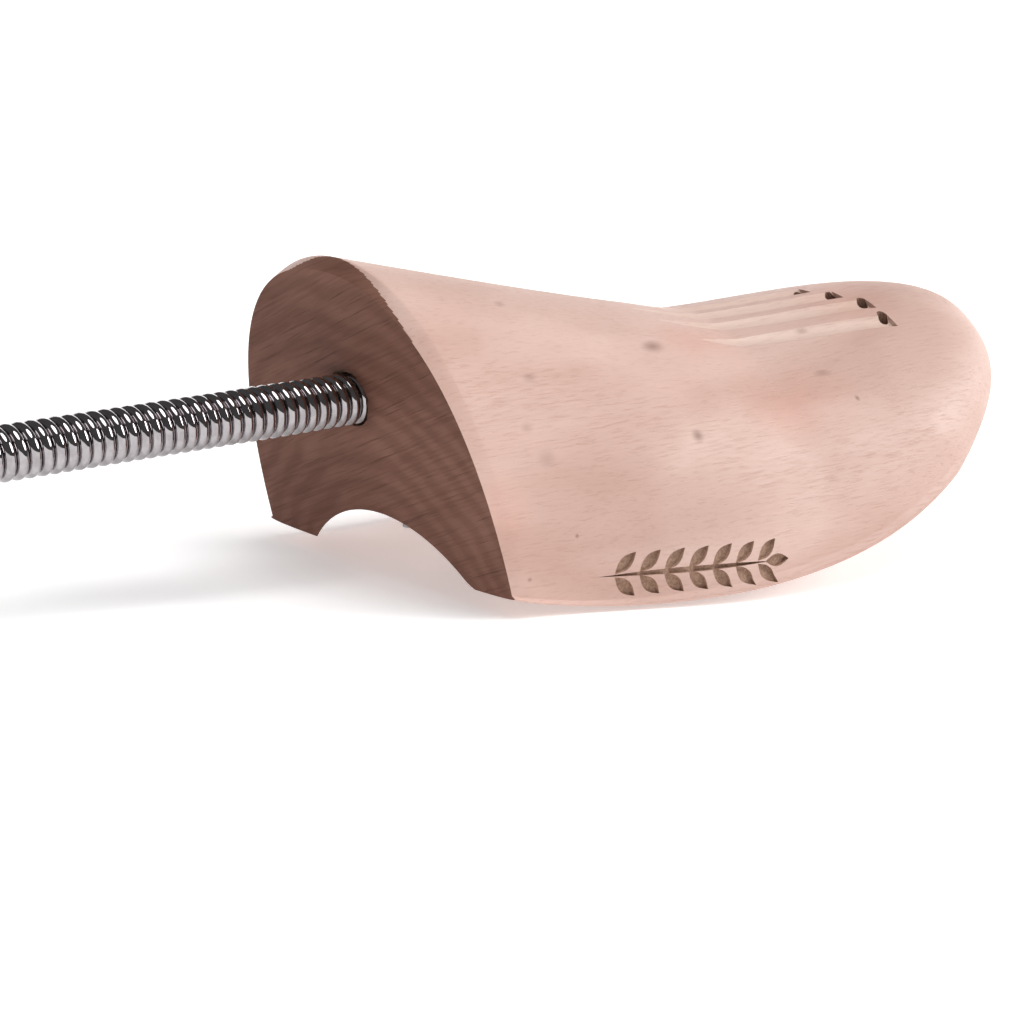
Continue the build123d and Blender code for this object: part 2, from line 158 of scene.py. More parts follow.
class Section:
    """The last's outline at one station: its sizes, and the point at an angle round it."""

    def __init__(self, x):
        self.x = x
        toe = min(max((x - BALL_X) / (LAST_LENGTH - BALL_X), 0.0), 1.0)
        close = min(max((x - TOE_X) / (LAST_LENGTH - TOE_X), 0.0), 1.0)
        flare = (BALL_HALF_WIDTH - BACK_HALF_WIDTH) * ease(x / BALL_X)
        instep = max(1 - max(x, 0.0) / VAMP_X, 0.0) ** VAMP_POWER
        rise = ease((x - VAMP_X) / (LAST_LENGTH - VAMP_X))
        crest = VAMP_HEIGHT + (BACK_HEIGHT - VAMP_HEIGHT) * instep + (TOE_CREST - VAMP_HEIGHT) * rise
        lift = REAR_LIFT * max(1 - x / REAR_LIFT_X, 0.0) ** 2
        rocker = -ROCKER_DEPTH + (x - ROCKER_X) ** 2 / (2 * ROCKER_RADIUS) + lift
        self.middle = TOE_SWING * (x / LAST_LENGTH) ** 2
        self.half_width = (BACK_HALF_WIDTH + flare) * sqrt(1 - toe**2)
        self.top = NOSE_HEIGHT + (crest - NOSE_HEIGHT) * (1 - close**TOE_POWER) ** (1 / TOE_POWER)
        self.sole = NOSE_HEIGHT - (NOSE_HEIGHT - rocker) * sqrt(1 - close**4)
        forward = ease(2 * x / LAST_LENGTH)
        share = WAIST_BACK + (WAIST_BALL - WAIST_BACK) * forward + WAIST_TOE_RISE * close**2
        self.waist = self.sole + (self.top - self.sole) * share
        self.pinch = SHOULDER_PINCH * forward - SHOULDER_FULL * (1 - forward)
        self.square = SOLE_SQUARENESS * (1 - max(close - SQUARE_UNTIL, 0.0) / (1 - SQUARE_UNTIL))
        self.lean = LEAN * max(0.0, 1 - x / LEAN_FADE)

    def point(self, angle, arris=0.0):
        """0 is the widest point on the outer side, pi / 2 the crest, pi the inner side."""
        lobes = sin(2 * angle) ** 2
        above = sin(angle) >= 0
        reach = 1 - self.pinch * lobes if above else 1 + self.square * lobes
        half_height = self.top - self.waist if above else self.waist - self.sole
        worn = arris * (ARRIS_AT_SOLE + (1 - ARRIS_AT_SOLE) * max(sin(angle), 0.0) ** 4)
        y = (self.half_width - worn) * cos(angle) * reach
        z = self.waist + (half_height - worn) * sin(angle) * reach
        return Vector((self.x - z * self.lean, self.middle + y, z))

    def angle_where(self, wanted, low, high):
        """The angle between low and high, in degrees, where wanted(point) turns from true to false."""
        low, high = radians(low), radians(high)
        for _ in range(40):
            angle = (low + high) / 2
            if wanted(self.point(angle)):
                low = angle
            else:
                high = angle
        return angle

    def on_crown(self, offset, height=0.0):
        """The point on the top that lies offset from the middle, raised along the section's normal."""
        angle = self.angle_where(lambda p: p.y - self.middle > offset, 0, 180)
        along = self.point(angle + 0.01) - self.point(angle - 0.01)
        return self.point(angle) + Vector((0, along.z, -along.y)).normalized() * height


def inner_side(x, z):
    """The y of the last's inner side at x and z. The section's lean moves its station a little."""
    station = x
    for _ in range(6):
        section = Section(station)
        station = x + z * section.lean
    section = Section(station)
    low, high = (90, 180) if z > section.waist else (180, 225)
    angle = section.angle_where(lambda p: p.z > z, low, high)
    return section.point(angle).y


# ---------------------------------------------------------------- mesh helpers
def add_mesh(name, points, faces, matrix=STANCE, slot=0):
    """A mesh object. Its faces get the material in the given slot, which a cutter hands on to its cut."""
    mesh = bpy.data.meshes.new(name)
    mesh.from_pydata([matrix @ Vector(p) for p in points], [], faces)
    for face in mesh.polygons:
        face.material_index = slot
    mesh.update()
    piece = bpy.data.objects.new(name, mesh)
    bpy.context.scene.collection.objects.link(piece)
    return piece


def tube_mesh(rings):
    """Points and faces of a closed solid through rings of equally many points, capped at both ends."""
    count = len(rings[0])
    points = [p for ring in rings for p in ring]
    faces = []
    for i in range(len(rings) - 1):
        a, b = i * count, (i + 1) * count
        faces += [(a + j, a + (j + 1) % count, b + (j + 1) % count, b + j) for j in range(count)]
    faces.append(tuple(reversed(range(count))))
    last = (len(rings) - 1) * count
    faces.append(tuple(range(last, last + count)))
    return points, faces


def outward(piece):
    """Turns the faces of a closed mesh outwards."""
    mesh = piece.data
    volume = 0.0
    mesh.calc_loop_triangles()
    for t in mesh.loop_triangles:
        a, b, c = (mesh.vertices[i].co for i in t.vertices)
        volume += a.dot(b.cross(c))
    if volume < 0:
        mesh.flip_normals()
    return piece


def apply_modifiers(piece):
    graph = bpy.context.evaluated_depsgraph_get()
    mesh = bpy.data.meshes.new_from_object(piece.evaluated_get(graph))
    piece.modifiers.clear()
    old = piece.data
    piece.data = mesh
    bpy.data.meshes.remove(old)
    return piece


def combine(piece, others, operation="DIFFERENCE"):
    """Cuts others out of piece, or adds them to it, and removes them."""
    for other in others:
        step = piece.modifiers.new("combine", "BOOLEAN")
        step.object = other
        step.operation = operation
        step.solver = "MANIFOLD"
    apply_modifiers(piece)
    for other in others:
        bpy.data.objects.remove(other)
    return piece


def dress(piece, *materials):
    for material in materials:
        piece.data.materials.append(material)


def smooth(piece, sharp_angle=32.0):
    mesh = piece.data
    mesh.shade_smooth()
    mesh.set_sharp_from_angle(angle=radians(sharp_angle))
    return piece


def circle_ring(centre, radius, side, up, count):
    turns = [2 * pi * i / count for i in range(count)]
    return [centre + side * (radius * cos(t)) + up * (radius * sin(t)) for t in turns]


def rod(name, start, end, radius, count=96, end_radius=None, slot=0):
    """A round bar or taper between two points of the last's frame, for cutting."""
    along = (end - start).normalized()
    side = along.orthogonal().normalized()
    up = along.cross(side)
    radii = (radius, radius if end_radius is None else end_radius)
    rings = [circle_ring(p, r, side, up, count) for p, r in zip((start, end), radii)]
    return outward(add_mesh(name, *tube_mesh(rings), slot=slot))


# ---------------------------------------------------------------- the forepart
ROUND_POINTS = 288
EDGE_STEPS = 16
EDGE_SAWN = (radians(72), radians(134))  # where the bevel stops showing the end grain
REAR_STEPS = 64
TOE_STEPS = 110
SIDE, END, CUT, GROOVE, ENGRAVED = range(5)  # material slots of the wooden pieces


def sawn_share(angle):
    """How much of the bevel shows the end grain: all of it at the crest, less on the way down each side."""
    far, near = EDGE_SAWN
    return ease((angle - far) / (pi / 2 - far)) * ease((near - angle) / (near - pi / 2))


def last_solid():
    """The last before any cut: the bevelled back edge, then the long body, closed at the toe's tip."""
    shares = [i / EDGE_STEPS for i in range(EDGE_STEPS + 1)]
    rows = [(ARRIS_RADIUS * t, ARRIS_RADIUS * (1 - t) ** ARRIS_BULGE) for t in shares]
    rows += [(ARRIS_RADIUS + (BALL_X - ARRIS_RADIUS) * i / REAR_STEPS, 0.0) for i in range(1, REAR_STEPS + 1)]
    turns = [radians(89.6 * i / TOE_STEPS) for i in range(1, TOE_STEPS + 1)]
    rows += [(BALL_X + (LAST_LENGTH - BALL_X) * sin(a), 0.0) for a in turns]
    angles = [2 * pi * i / ROUND_POINTS for i in range(ROUND_POINTS)]
    rings = [[Section(x).point(a, arris) for a in angles] for x, arris in rows]
    piece = add_mesh("forepart_wood", *tube_mesh(rings), slot=SIDE)
    piece.data.polygons[-2].material_index = END
    for row in range(EDGE_STEPS):
        for i, angle in enumerate(angles):
            if (row + 0.5) / EDGE_STEPS < sawn_share(angle):
                piece.data.polygons[row * ROUND_POINTS + i].material_index = END
    return outward(piece)


def on_back_face(across, up):
    """The point of the leaning back face at a distance across and a distance up it."""
    lean = radians(BACK_LEAN)
    return Vector((-up * sin(lean), across, up * cos(lean)))


def arch_outline():
    """The hollow's outline in the back face: its arc, and a rounded foot at each end."""
    radius = (ARCH_HALF_WIDTH**2 + ARCH_HEIGHT**2) / (2 * ARCH_HEIGHT)
    centre = Vector((ARCH_Y, ARCH_HEIGHT - radius))
    feet = []
    for side, rounding in ((-1, ARCH_INNER_FOOT), (1, ARCH_OUTER_FOOT)):
        drop = FOOT_LEVEL + rounding - centre.y
        reach = side * sqrt((radius + rounding) ** 2 - drop**2)
        foot = Vector((ARCH_Y + reach, FOOT_LEVEL + rounding))
        steep = atan(abs(reach) / drop)
        arc = [steep * i / 8 for i in range(9)]
        feet.append([foot + Vector((-side * sin(a), -cos(a))) * rounding for a in arc])
    inner, outer = feet
    low, high = (atan((foot[-1].x - centre.x) / (foot[-1].y - centre.y)) for foot in feet)
    crown = [low + (high - low) * i / 80 for i in range(1, 80)]
    arc = [centre + Vector((sin(a), cos(a))) * radius for a in crown]
    deep = Vector((0, -LAST_LENGTH))
    return inner + arc + outer[::-1] + [outer[0] + deep, inner[0] + deep]


def arch_cutter():
    """The hollow, which falls towards the outer side and runs out in the sole."""
    turn, fall = radians(ARCH_TURN), radians(ARCH_FALL)
    along = Vector((cos(turn) * cos(fall), sin(turn) * cos(fall), -sin(fall)))
    outline = [on_back_face(*point) for point in arch_outline()]
    rings = [[p + along * run for p in outline] for run in (-CUT_PAST, LAST_LENGTH)]
    return outward(add_mesh("arch_cutter", *tube_mesh(rings), slot=SIDE))


def groove_cutters(offset, toe_gap, length):
    """A round-nosed cutter's path, deepest at its front end and rising out of the wood at the rear."""
    front = LAST_LENGTH - toe_gap
    steps, rings = 60, []
    for i in range(steps + 1):
        t = i / steps
        depth = GROOVE_DEPTH - (GROOVE_DEPTH + GROOVE_EXIT) * ease((t - GROOVE_FULL) / (1 - GROOVE_FULL))
        centre = Section(front - t * length).on_crown(offset, GROOVE_RADIUS - depth)
        rings.append(circle_ring(centre, GROOVE_RADIUS, Vector((0, 1, 0)), Vector((0, 0, 1)), 48))
    groove = outward(add_mesh("groove_cutter", *tube_mesh(rings), slot=GROOVE))
    floor = Section(front - PLUNGE_RADIUS).on_crown(offset, -PLUNGE_DEPTH)
    above = floor + Vector((0, 0, PLUNGE_DEPTH + CUT_PAST))
    return [groove, rod("plunge_cutter", floor, above, PLUNGE_RADIUS, 24, slot=CUT)]


def leaf_outline(length, width, steps=10):
    """A pointed leaf from the origin along +x, as points in order."""
    upper = [(length * i / steps, width / 2 * sin(pi * i / steps)) for i in range(steps)]
    lower = [(length * (1 - i / steps), -width / 2 * sin(pi * i / steps)) for i in range(steps)]
    return upper + lower


def engraving_cutter(outline, x, z, turn):
    """A flat outline turned and placed on the inner side, sunk to the engraving's floor."""
    fall = radians(-SPRIG_FALL)
    outer, inner = [], []
    for u, v in outline:
        along = x + u * cos(turn) - v * sin(turn)
        across = z + u * sin(turn) + v * cos(turn)
        px = SPRIG_X + along * cos(fall) - across * sin(fall)
        pz = SPRIG_Z + along * sin(fall) + across * cos(fall)
        py = inner_side(px, pz)
        outer.append(Vector((px, py - 3, pz)))
        inner.append(Vector((px, py + SPRIG_DEPTH, pz)))
    return outward(add_mesh("engraving_cutter", *tube_mesh([outer, inner]), slot=ENGRAVED))


def sprig_cutters():
    """A leaf sprig: a stem, a leaf at its tip, and pairs of leaves along it."""
    foot_x = -SPRIG_LENGTH / 2
    tip_x = SPRIG_LENGTH / 2 - LEAF_LENGTH
    stem = leaf_outline(tip_x - foot_x + TIP_ROOM, STEM_WIDTH, 24)
    cutters = [engraving_cutter(stem, foot_x, 0, 0)]
    cutters.append(engraving_cutter(leaf_outline(LEAF_LENGTH, LEAF_WIDTH), tip_x, 0, 0))
    pair_step = (tip_x - TIP_ROOM - foot_x - BARE_STEM) / (LEAF_PAIRS - 1)
    for i in range(LEAF_PAIRS):
        for turn in (radians(LEAF_ANGLE), -radians(LEAF_ANGLE)):
            x = foot_x + BARE_STEM + i * pair_step + LEAF_FOOT * cos(turn)
            outline = leaf_outline(LEAF_LENGTH, LEAF_WIDTH)
            cutters.append(engraving_cutter(outline, x, LEAF_FOOT * sin(turn), turn))
    return cutters


def floor_slab():
    """What the sole is planed down to."""
    side, deep = 0.5, 0.05
    plan = ((-side, -side), (side, -side), (side, side), (-side, side))
    rings = [[Vector((x, y, z)) for x, y in plan] for z in (-deep, 0)]
    return outward(add_mesh("floor_slab", *tube_mesh(rings), Matrix.Identity(4), SIDE))


def chipped_mouth():
    """The splintered rim of the bore: a shallow cone whose edge is torn furthest up and to the inner side."""
    count = 120
    outer, inner = [], []
    for i in range(count):
        a = 2 * pi * i / count
        torn = exp(2.2 * (cos(a - CHIP_ANGLE) - 1))
        splinters = 0.75 + 0.15 * sin(7 * a) + 0.10 * sin(17 * a + 1)
        reach = BORE_RADIUS + CHIP_LEAST + CHIP_REACH * torn * splinters
        y, z = reach * cos(a), HOLE_HEIGHT + reach * sin(a)
        outer.append(Vector((-z * LEAN - CHIP_LIFT, y, z)))
        y, z = BORE_RADIUS * cos(a), HOLE_HEIGHT + BORE_RADIUS * sin(a)
        inner.append(Vector((-z * LEAN + CHIP_DEPTH, y, z)))
    return outward(add_mesh("chip_cutter", *tube_mesh([outer, inner]), slot=CUT))


def along_spring(back, radius=0.0, angle=0.0):
    """A point of the last's frame, back behind the hole along the spring's axis."""
    return Vector((HOLE_X - back, radius * cos(angle), HOLE_HEIGHT + radius * sin(angle)))


def make_forepart(*materials):
    wood = last_solid()
    dress(wood, *materials)
    bore_middle = along_spring(-BORE_DEPTH / 2)
    below = bore_middle - Vector((0, 0, HOLE_HEIGHT + CUT_PAST))
    cutters = [arch_cutter(), floor_slab(), chipped_mouth()]
    cutters.append(rod("bore_cutter", along_spring(CUT_PAST), along_spring(-BORE_DEPTH), BORE_RADIUS, slot=CUT))
    cutters.append(rod("pin_cutter", below, bore_middle, PIN_HOLE_RADIUS, 32, slot=CUT))
    for groove in GROOVES:
        cutters += groove_cutters(*groove)
    cutters += sprig_cutters()
    combine(wood, cutters)
    smooth(wood)
    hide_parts("forepart")
    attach(wood, "forepart")
    return wood


# ---------------------------------------------------------------- the spring
def helix_ring(back, count=16):
    """The wire's cross-section where the helix is back behind the hole."""
    mean = (SPRING_OD - WIRE) / 2
    angle = -2 * pi * back / COIL_PITCH
    centre = along_spring(back, mean, angle)
    ahead = along_spring(back + 0.001, mean, -2 * pi * (back + 0.001) / COIL_PITCH)
    along = (ahead - centre).normalized()
    radial = Vector((0, cos(angle), sin(angle)))
    return circle_ring(centre, WIRE / 2, radial, along.cross(radial).normalized(), count)


def make_spring():
    """One helix, cut at the middle of each stretch, so that every piece spans one joint."""
    turns_steps = 36
    middles = [STUB_LENGTH + (i + 0.5) * STRETCH_LENGTH for i in range(len(JOINTS) - 1)]
    front = -(BORE_DEPTH - BORE_END_ROOM - WIRE / 2)
    rear = EXPOSED_LENGTH + KNOB_BORE_DEPTH - BORE_END_ROOM - WIRE / 2
    ends = [front] + middles + [rear]
    pieces = []
    for i, joint in enumerate(JOINTS):
        start, end = ends[i], ends[i + 1]
        steps = ceil((end - start) / COIL_PITCH * turns_steps)
        rings = [helix_ring(start + (end - start) * k / steps) for k in range(steps + 1)]
        piece = outward(add_mesh(f"spring_wire_{i + 1:02d}", *tube_mesh(rings)))
        smooth(piece, 50)
        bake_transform(piece)
        pieces.append(piece)
    names = ["spring_front_end"] + [f"spring_coil_{i:02d}" for i in range(1, len(JOINTS))] + ["spring_rear_end"]
    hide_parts(*names)
    return pieces


# ---------------------------------------------------------------- the heel knob
def turned_profile(radius):
    """Half the knob's outline, from the bottom of its bore round to the middle of its rear flat."""
    seat, tail = sqrt(radius**2 - KNOB_FACE_RADIUS**2), sqrt(radius**2 - KNOB_TAIL_RADIUS**2)
    bottom = seat - KNOB_BORE_DEPTH
    profile = [(bottom, 0.0), (bottom, BORE_RADIUS), (seat - BORE_CHAMFER, BORE_RADIUS)]
    profile += [(seat, BORE_RADIUS + BORE_CHAMFER), (seat, KNOB_FACE_RADIUS - KNOB_EDGE)]
    soft = KNOB_EDGE / radius
    start, end = atan(KNOB_FACE_RADIUS / seat) + soft, pi - atan(KNOB_TAIL_RADIUS / tail) - soft
    profile.append((seat - KNOB_EDGE / 8, KNOB_FACE_RADIUS - KNOB_EDGE / 3))
    arc = [start + (end - start) * i / 96 for i in range(97)]
    profile += [(radius * cos(a), radius * sin(a)) for a in arc]
    profile.append((KNOB_EDGE / 8 - tail, KNOB_TAIL_RADIUS - KNOB_EDGE / 3))
    return profile + [(-tail, KNOB_TAIL_RADIUS - KNOB_EDGE), (-tail, 0.0)]


def make_knob(*materials):
    """A turned knob: a ball with a flat at each end, softened rims, and the spring's bore."""
    low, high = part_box("heel_knob")
    radius = (high.y - low.y) / 2 / MM
    centre = along_spring(EXPOSED_LENGTH + sqrt(radius**2 - KNOB_FACE_RADIUS**2))
    count = 192
    points, faces, rings = [], [], []
    for x, r in turned_profile(radius):
        turns = [2 * pi * i / count for i in range(count)] if r else [0.0]
        rings.append(range(len(points), len(points) + len(turns)))
        points += [centre + Vector((x, r * cos(t), r * sin(t))) for t in turns]
    for a, b in zip(rings, rings[1:]):
        for i in range(count):
            j = (i + 1) % count
            corners = (a[i % len(a)], a[j % len(a)], b[j % len(b)], b[i % len(b)])
            faces.append(tuple(dict.fromkeys(corners)))
    knob = outward(add_mesh("heel_knob_wood", points, faces, slot=SIDE))
    dress(knob, *materials)
    below = centre - Vector((0, 0, radius + CUT_PAST))
    combine(knob, [rod("pin_cutter", below, centre, PIN_HOLE_RADIUS, 32, slot=CUT)])
    smooth(knob)
    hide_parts("heel_knob")
    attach(knob, "knob")
    return knob


# ---------------------------------------------------------------- materials
class Nodes:
    """A material's node tree, with a short way to add nodes and join them."""

    def __init__(self, name):
        self.material = bpy.data.materials.new(name)
        self.material.use_nodes = True
        self.tree = self.material.node_tree
        self.shader = self.tree.nodes["Principled BSDF"]

    def add(self, kind, inputs=None, **settings):
        node = self.tree.nodes.new(kind)
        for key, value in settings.items():
            setattr(node, key, value)
        for key, value in (inputs or {}).items():
            if isinstance(value, bpy.types.NodeSocket):
                self.tree.links.new(value, node.inputs[key])
            else:
                node.inputs[key].default_value = value
        return node

    def math(self, operation, a, b=0.0, clamp=False):
        return self.add("ShaderNodeMath", {0: a, 1: b}, operation=operation, use_clamp=clamp).outputs[0]

    def ramp(self, value, stops):
        node = self.add("ShaderNodeValToRGB", {"Fac": value})
        elements = node.color_ramp.elements
        while len(elements) < len(stops):
            elements.new(0.5)
        for element, (place, colour) in zip(elements, stops):
            element.position = place
            element.color = colour if len(colour) == 4 else (*colour, 1.0)
        return node.outputs["Color"]

    def mix(self, factor, a, b, blend="MIX"):
        node = self.add("ShaderNodeMix", data_type="RGBA", blend_type=blend)
        for socket, value in ((node.inputs[0], factor), (node.inputs[6], a), (node.inputs[7], b)):
            if isinstance(value, bpy.types.NodeSocket):
                self.tree.links.new(value, socket)
            else:
                socket.default_value = (*value, 1.0) if isinstance(value, tuple) else value
        return node.outputs[2]

    def noise(self, vector, scale, detail=3.0, roughness=0.5, distortion=0.0):
        sizes = {"Vector": vector, "Scale": scale, "Detail": detail, "Roughness": roughness, "Distortion": distortion}
        return self.add("ShaderNodeTexNoise", sizes).outputs["Fac"]

    def mapped(self, vector, location=(0, 0, 0), rotation=(0, 0, 0), scale=(1, 1, 1)):
        places = {"Vector": vector, "Location": location, "Rotation": rotation, "Scale": scale}
        return self.add("ShaderNodeMapping", places).outputs["Vector"]

    def warped(self, place, scale, amount):
        """The place, pushed about by a soft noise."""
        noise = self.add("ShaderNodeTexNoise", {"Vector": place, "Scale": scale, "Detail": 2.0}).outputs["Color"]
        push = self.mapped(noise, (-amount / 2,) * 3, (0, 0, 0), (amount,) * 3)
        return self.add("ShaderNodeVectorMath", {0: place, 1: push}, operation="ADD").outputs["Vector"]

    def last_mm(self):
        """Places in the last's own frame, in millimetres."""
        place = self.add("ShaderNodeTexCoord").outputs["Object"]
        scale = LAST_FROM_ROW.to_scale()
        return self.mapped(place, LAST_FROM_ROW.translation, LAST_FROM_ROW.to_euler(), scale)

    def spot(self, place, centre, size, strength=1.0):
        """1 at the centre of an ellipsoid, falling smoothly to 0 at its edge, times strength."""
        scale = [1 / v for v in size]
        moved = self.mapped(place, [-c * v for c, v in zip(centre, scale)], (0, 0, 0), scale)
        away = self.add("ShaderNodeVectorMath", {0: moved}, operation="LENGTH").outputs["Value"]
        sizes = {"Value": away, "From Min": 1.0, "From Max": 0.0, "To Min": 0.0, "To Max": strength}
        return self.add("ShaderNodeMapRange", sizes, interpolation_type="SMOOTHSTEP").outputs["Result"]

    def band(self, value, low, high, strength=1.0):
        """0 under low, strength over high, and smooth between."""
        sizes = {"Value": value, "From Min": low, "From Max": high, "To Min": 0.0, "To Max": strength}
        return self.add("ShaderNodeMapRange", sizes, interpolation_type="SMOOTHSTEP").outputs["Result"]

    def bump(self, height, distance, strength=1.0):
        sizes = {"Height": height, "Distance": distance, "Strength": strength}
        normal = self.add("ShaderNodeBump", sizes).outputs["Normal"]
        self.tree.links.new(normal, self.shader.inputs["Normal"])

    def colour(self, colour, roughness):
        self.tree.links.new(colour, self.shader.inputs["Base Color"])
        if isinstance(roughness, bpy.types.NodeSocket):
            self.tree.links.new(roughness, self.shader.inputs["Roughness"])
        else:
            self.shader.inputs["Roughness"].default_value = roughness


# Places in the last's own frame, in mm.
KNOTS = (  # centre, size, darkness
    ((43.4, -36.4, 23.0), (2.0, 4.0, 1.5), 0.75),
    ((45.4, -21.7, 37.1), (4.5, 4.0, 1.4), 0.70),
    ((10.4, -27.3, 36.5), (2.4, 4.0, 1.1), 0.45),
    ((6.3, -32.0, 28.9), (2.0, 4.0, 1.4), 0.30),
    ((14.7, -13.8, 47.3), (2.2, 4.0, 0.7), 0.45),
    ((9.2, -34.3, 23.3), (3.0, 4.0, 2.2), 0.28),
    ((87.6, -34.9, 24.0), (0.8, 3.0, 0.7), 0.75),
    ((13.5, -37.9, 9.5), (0.6, 3.0, 0.6), 0.70),
    ((3.4, -37.1, 3.2), (0.7, 3.0, 0.6), 0.60),
    ((87.8, -20.4, 35.1), (2.4, 4.0, 0.8), 0.45),
    ((83.5, -29.4, 28.6), (3.2, 4.0, 0.8), 0.40),
)
RED_FLUSHES = (
    ((71.6, -32.6, 25.1), (19.0, 22.0, 9.0), 0.75),
    ((60.0, -22.0, 36.0), (16.0, 14.0, 7.0), 0.60),
    ((-1.0, -37.0, 16.0), (7.0, 12.0, 12.0), 0.70),
    ((104.0, -12.0, 40.0), (22.0, 16.0, 7.0), 0.50),
)
# Paler patches. The one at the toe is painted light: the toe made paler, as where the key light falls brightest.
PALE_PATCHES_AND_LIT_TOE = (
    ((50.0, -42.0, 13.0), (27.0, 26.0, 20.0), 0.95),
    # painted light on the toe
    ((122.0, -22.0, 22.0), (34.0, 34.0, 22.0), 0.90),
    ((20.0, -24.0, 42.0), (26.0, 18.0, 8.0), 0.60),
)
RING_CENTRE_Z = -14.0
RING_SPACING = 5.2
RING_WANDER = 9.0


def growth_rings(m, place):
    """Bands round the pith, which runs lengthwise low in the wood, so they arch over the back face."""
    centred = m.mapped(place, (0, 0, -RING_CENTRE_Z), (0, 0, 0), (0.04, 1.0, 1.0))
    radius = m.add("ShaderNodeVectorMath", {0: centred}, operation="LENGTH").outputs["Value"]
    wander = m.noise(m.mapped(place, scale=(0.012, 0.05, 0.05)), 1.0, 2.0)
    bent = m.math("ADD", radius, m.math("MULTIPLY", wander, RING_WANDER))
    wave = m.math("SINE", m.math("MULTIPLY", bent, 2 * pi / RING_SPACING))
    return m.band(wave, -1.0, 1.0)


def wood_material(name, light, dark):
    """Sanded bare wood, cut lengthwise: blotches, faint rings, short dark pores, knots and flushes, paler patches,
    and painted light that makes the toe paler.
    """
    m = Nodes(name)
    place = m.last_mm()
    blotch = m.band(m.noise(m.mapped(place, scale=(0.35, 1.0, 1.0)), 0.045, 2.0, 0.5, 0.4), 0.35, 0.65)
    pores = m.noise(m.mapped(place, rotation=(0, 0.03, 0), scale=(0.10, 1.0, 1.0)), 2.2, 4.0, 0.62)
    dashes = m.band(pores, 0.50, 0.72)
    fibres = m.noise(m.mapped(place, scale=(0.03, 1.0, 1.0)), 2.6, 2.0, 0.5)
    rings = growth_rings(m, place)
    colour = m.mix(blotch, light, dark)
    warped = m.warped(place, 0.06, 14.0)
    for centre, size, strength in RED_FLUSHES:
        colour = m.mix(m.spot(warped, centre, size, strength), colour, (1.0, 0.87, 0.83), "MULTIPLY")
    # Paler patches, and painted light on the toe.
    for centre, size, strength in PALE_PATCHES_AND_LIT_TOE:
        edge = m.band(m.spot(warped, centre, size), 0.02, 0.30, strength)
        colour = m.mix(edge, colour, (1.07, 1.11, 1.12), "MULTIPLY")
    colour = m.mix(m.math("MULTIPLY", rings, 0.30), colour, (0.93, 0.88, 0.86), "MULTIPLY")
    colour = m.mix(m.math("MULTIPLY", dashes, 0.35), colour, (0.80, 0.72, 0.69), "MULTIPLY")
    colour = m.mix(m.band(fibres, 0.45, 0.75, 0.35), colour, (0.90, 0.86, 0.84), "MULTIPLY")
    for centre, size, darkness in KNOTS:
        colour = m.mix(m.spot(place, centre, size, darkness), colour, (0.23, 0.12, 0.085))
    m.colour(colour, m.math("ADD", m.band(pores, 0.3, 0.8, 0.2), 0.46))
    m.bump(m.math("ADD", dashes, fibres), -0.00006, 0.5)
    m.shader.inputs["Specular IOR Level"].default_value = 0.35
    return m.material


def shaded_end_grain_material(name, light, dark):
    """Sawn end grain: growth rings crossed by the saw's fine slanting marks, in colours darker than the end grain's
    own, with painted shade for the back face.
    """
    m = Nodes(name)
    place = m.last_mm()
    rings = growth_rings(m, place)
    slanted = m.mapped(place, rotation=(radians(SAW_SLANT), 0, 0))
    strokes = m.noise(m.mapped(slanted, scale=(0.2, 0.06, 1.9)), 1.0, 4.0, 0.7)
    scratches = m.band(m.noise(m.mapped(slanted, (3, 5, 7), (0, 0, 0), (0.2, 0.05, 2.2)), 1.0, 2.0), 0.62, 0.72)
    cloud = m.noise(place, 0.05, 2.0)
    colour = m.mix(m.band(cloud, 0.35, 0.65), light, dark)
    colour = m.mix(m.math("MULTIPLY", rings, 0.75), colour, (0.80, 0.76, 0.74), "MULTIPLY")
    colour = m.mix(m.band(strokes, 0.42, 0.66, 0.8), colour, (0.76, 0.71, 0.69), "MULTIPLY")
    colour = m.mix(m.math("MULTIPLY", scratches, 0.6), colour, (0.55, 0.50, 0.48), "MULTIPLY")
    # Painted shade: the end grain darkened round the spring's hole.
    painted_hole_shade = m.spot(place, (HOLE_X, -1.5, HOLE_HEIGHT + 1.0), (9.0, 9.5, 9.5))
    colour = m.mix(m.band(painted_hole_shade, 0.05, 0.6, 0.75), colour, (0.50, 0.46, 0.45), "MULTIPLY")
    m.colour(colour, 0.75)
    m.bump(m.math("ADD", strokes, scratches), -0.0001, 0.6)
    m.shader.inputs["Specular IOR Level"].default_value = 0.2
    return m.material


def cut_and_shade_material(name, light, dark):
    """Scorched and fuzzy wood at the bottom of the engraving and in the holes, its colours made darker still with
    painted shade for their depth.
    """
    m = Nodes(name)
    place = m.last_mm()
    fuzz = m.noise(place, 2.2, 4.0, 0.7)
    m.colour(m.mix(m.band(fuzz, 0.35, 0.65), light, dark), 0.85)
    m.bump(fuzz, 0.00015, 0.8)
    m.shader.inputs["Specular IOR Level"].default_value = 0.15
    return m.material


def turned_material(name, light, dark):
    """The knob's wood: the same, with the lathe's fine rings and its sawn ends in one texture."""
    m = Nodes(name)
    place = m.last_mm()
    pores = m.noise(m.mapped(place, scale=(0.16, 1.0, 1.0)), 1.5, 4.0, 0.62)
    rings = growth_rings(m, place)
    lathe = m.noise(m.mapped(place, scale=(1.0, 0.02, 0.02)), 3.2, 2.0)
    blotch = m.band(m.noise(place, 0.05, 2.0), 0.35, 0.65)
    colour = m.mix(blotch, light, dark)
    colour = m.mix(m.math("MULTIPLY", rings, 0.55), colour, (0.86, 0.79, 0.76), "MULTIPLY")
    colour = m.mix(m.band(pores, 0.50, 0.72, 0.6), colour, (0.80, 0.72, 0.69), "MULTIPLY")
    m.colour(colour, m.math("ADD", m.band(lathe, 0.3, 0.7, 0.12), 0.44))
    m.bump(lathe, 0.00005, 0.5)
    m.shader.inputs["Specular IOR Level"].default_value = 0.35
    return m.material


